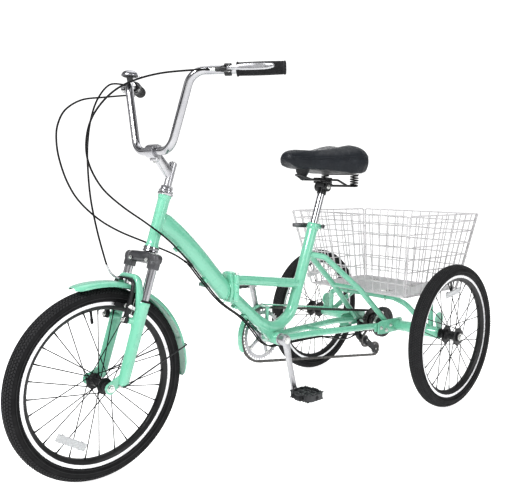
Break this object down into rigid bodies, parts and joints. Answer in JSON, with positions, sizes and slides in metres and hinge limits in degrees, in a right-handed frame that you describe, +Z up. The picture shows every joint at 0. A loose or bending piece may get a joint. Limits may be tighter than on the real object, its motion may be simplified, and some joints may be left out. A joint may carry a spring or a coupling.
{
  "type": "adult tricycle",
  "caption": "Folding step-through adult tricycle with a suspension fork, swept handlebar, cruiser saddle, chain drive to the rear axle and a large wire basket behind the seat.",
  "frame": {"origin": "on the ground at the middle of the overall box, midway between the front and rear wheels' outer edges", "axes": "+Z up, the tricycle faces -Y, the rider's left is +X and the drive side is -X"},
  "size_m": [0.719, 1.696, 1.0815],
  "materials": {
    "mint_paint": "gloss mint-green enamel",
    "chrome_plate": "bright chrome",
    "satin_metal": "satin silver",
    "black_metal": "satin black",
    "black_plastic": "moulded black",
    "grip_rubber": "matt black",
    "tyre_rubber": "matt black tread",
    "dark_casting": "dark grey",
    "basket_wire": "silver-grey coating",
    "chain_steel": "oiled dark steel",
    "saddle_cover": "black vinyl"
  },
  "bodies": {
    "rear_frame": {"rear_frame": "mint_paint", "axle_carrier": "mint_paint", "basket": "basket_wire", "chain_guard": "mint_paint", "band_brake": "black_metal", "rear_derailleur": "black_plastic", "chain": "chain_steel", "hinge_pin": "satin_metal", "rear_brake_cable_rear": "black_plastic", "shift_cable_rear": "black_plastic"},
    "front_frame": {"front_frame": "mint_paint", "headset_lower": "satin_metal", "headset_upper": "satin_metal"},
    "steering": {"fork_crown": "dark_casting", "stanchion_left": "chrome_plate", "stanchion_right": "chrome_plate", "stem": "satin_metal", "handlebar": "chrome_plate", "grip_left": "grip_rubber", "grip_right": "grip_rubber", "brake_lever_mount_left": "black_plastic", "brake_lever_mount_right": "black_plastic", "bell_dome": "chrome_plate", "rear_brake_cable_front": "black_plastic", "shift_cable_front": "black_plastic", "front_brake_cable": "black_plastic"},
    "fork_lowers": {"fork_lowers": "mint_paint", "front_fender": "mint_paint", "front_axle": "satin_metal"},
    "front_wheel": {"front_tyre": "tyre_rubber", "front_rim": "black_metal", "front_hub_and_spokes": "black_metal"},
    "left_rear_wheel": {"rear_left_tyre": "tyre_rubber", "rear_left_rim": "black_metal", "rear_left_hub_and_spokes": "black_metal"},
    "right_rear_wheel": {"rear_right_tyre": "tyre_rubber", "rear_right_rim": "black_metal", "rear_right_hub_and_spokes": "black_metal", "rear_axle": "satin_metal"},
    "crankset": {"crank_spindle": "satin_metal", "crank_left": "satin_metal", "crank_right": "satin_metal", "chainring": "satin_metal"},
    "left_pedal": {"pedal_left": "black_plastic"},
    "right_pedal": {"pedal_right": "black_plastic"},
    "freewheel": {"freewheel": "satin_metal"},
    "upper_jockey": {"jockey_upper": "black_plastic"},
    "lower_jockey": {"jockey_lower": "black_plastic"},
    "left_brake_lever": {"brake_lever_left": "chrome_plate"},
    "right_brake_lever": {"brake_lever_right": "chrome_plate"},
    "left_rim_brake": {"rim_brake_arm_left": "black_plastic"},
    "right_rim_brake": {"rim_brake_arm_right": "black_plastic"},
    "band_brake_arm": {"band_brake_arm": "satin_metal"},
    "twist_shifter": {"shifter_twist": "grip_rubber"},
    "bell_striker": {"bell_striker": "chrome_plate"},
    "seat": {"seatpost": "chrome_plate", "saddle_frame": "black_metal", "saddle": "saddle_cover"},
    "seat_clamp": {"seat_clamp_lever": "black_plastic"},
    "fold_latch": {"fold_latch": "satin_metal"}
  },
  "joints": [
    {"name": "frame_fold", "type": "hinge", "parent": "rear_frame", "child": "front_frame", "pos_m": [0.0345, -0.16, 0.459], "axis": [0, 0, 1], "range_deg": [0, 125], "deforming": ["rear_brake_cable_rear", "shift_cable_rear"]},
    {"name": "steering_turn", "type": "hinge", "parent": "front_frame", "child": "steering", "pos_m": [0, -0.438, 0.591], "axis": [0, 0.2974, 0.9548], "range_deg": [-90, 90], "deforming": ["rear_brake_cable_front", "shift_cable_front"]},
    {"name": "fork_travel", "type": "slide", "parent": "steering", "child": "fork_lowers", "axis": [0, 0.2974, 0.9548], "range_m": [0, 0.035], "stiffness_N_per_m": 15000, "springref_m": -0.02, "deforming": ["front_brake_cable"]},
    {"name": "front_wheel_spin", "type": "hinge", "parent": "fork_lowers", "child": "front_wheel", "pos_m": [0, -0.598, 0.25], "axis": [1, 0, 0], "continuous": true},
    {"name": "left_wheel_spin", "type": "hinge", "parent": "rear_frame", "child": "left_rear_wheel", "pos_m": [0.3185, 0.598, 0.25], "axis": [1, 0, 0], "continuous": true},
    {"name": "right_wheel_spin", "type": "hinge", "parent": "rear_frame", "child": "right_rear_wheel", "pos_m": [-0.3185, 0.598, 0.25], "axis": [1, 0, 0], "continuous": true},
    {"name": "crank_spin", "type": "hinge", "parent": "rear_frame", "child": "crankset", "pos_m": [0, 0.03, 0.274], "axis": [1, 0, 0], "continuous": true},
    {"name": "left_pedal_spin", "type": "hinge", "parent": "crankset", "child": "left_pedal", "pos_m": [0.126, 0.05917, 0.10855], "axis": [1, 0, 0], "continuous": true},
    {"name": "right_pedal_spin", "type": "hinge", "parent": "crankset", "child": "right_pedal", "pos_m": [-0.126, 0.00083, 0.43945], "axis": [1, 0, 0], "continuous": true},
    {"name": "freewheel_spin", "type": "hinge", "parent": "rear_frame", "child": "freewheel", "pos_m": [-0.05, 0.598, 0.25], "axis": [1, 0, 0], "continuous": true},
    {"name": "upper_jockey_spin", "type": "hinge", "parent": "rear_frame", "child": "upper_jockey", "pos_m": [-0.05, 0.592, 0.166], "axis": [1, 0, 0], "continuous": true},
    {"name": "lower_jockey_spin", "type": "hinge", "parent": "rear_frame", "child": "lower_jockey", "pos_m": [-0.05, 0.652, 0.122], "axis": [1, 0, 0], "continuous": true},
    {"name": "left_brake_squeeze", "type": "hinge", "parent": "steering", "child": "left_brake_lever", "pos_m": [0.2406, -0.37444, 1.04796], "axis": [-0.0228, -0.0198, 0.9995], "range_deg": [0, 9], "stiffness_Nm_per_rad": 0.8, "springref_deg": -8.59},
    {"name": "right_brake_squeeze", "type": "hinge", "parent": "steering", "child": "right_brake_lever", "pos_m": [-0.2406, -0.37444, 1.04796], "axis": [-0.0228, 0.0198, -0.9995], "range_deg": [0, 9], "stiffness_Nm_per_rad": 0.8, "springref_deg": -8.59},
    {"name": "left_pad_press", "type": "hinge", "parent": "fork_lowers", "child": "left_rim_brake", "pos_m": [0.047, -0.54891, 0.41816], "axis": [0, -0.9548, 0.2974], "range_deg": [0, 2.8]},
    {"name": "right_pad_press", "type": "hinge", "parent": "fork_lowers", "child": "right_rim_brake", "pos_m": [-0.047, -0.54891, 0.41816], "axis": [0, 0.9548, -0.2974], "range_deg": [0, 2.8]},
    {"name": "band_brake_pull", "type": "hinge", "parent": "rear_frame", "child": "band_brake_arm", "pos_m": [0.04, 0.566, 0.29], "axis": [-1, 0, 0], "range_deg": [0, 13]},
    {"name": "gear_twist", "type": "hinge", "parent": "steering", "child": "twist_shifter", "pos_m": [-0.23295, -0.34134, 1.05044], "axis": [-0.7546, 0.6555, 0.0302], "range_deg": [-150, 0]},
    {"name": "bell_ring", "type": "hinge", "parent": "steering", "child": "bell_striker", "pos_m": [-0.136, -0.418, 1.0605], "axis": [0, 0, 1], "range_deg": [0, 35], "stiffness_Nm_per_rad": 0.05, "springref_deg": -17.19},
    {"name": "seat_height", "type": "slide", "parent": "rear_frame", "child": "seat", "axis": [0, 0.3303, 0.9439], "range_m": [-0.035, 0.06]},
    {"name": "seat_clamp_open", "type": "hinge", "parent": "rear_frame", "child": "seat_clamp", "pos_m": [-0.0225, 0.244, 0.628], "axis": [0, -0.3303, -0.9439], "range_deg": [0, 100]},
    {"name": "fold_latch_open", "type": "hinge", "parent": "front_frame", "child": "fold_latch", "pos_m": [-0.0365, -0.169, 0.459], "axis": [0, 0, -1], "range_deg": [0, 120]}
  ],
  "couplings": [
    {"joint": "freewheel_spin", "follows": "crank_spin", "ratio": 3.1429},
    {"joint": "upper_jockey_spin", "follows": "crank_spin", "ratio": -4},
    {"joint": "lower_jockey_spin", "follows": "crank_spin", "ratio": 4},
    {"joint": "left_pad_press", "follows": "right_brake_squeeze", "ratio": 0.3},
    {"joint": "right_pad_press", "follows": "right_brake_squeeze", "ratio": 0.3},
    {"joint": "band_brake_pull", "follows": "left_brake_squeeze", "ratio": 1.4}
  ]
}
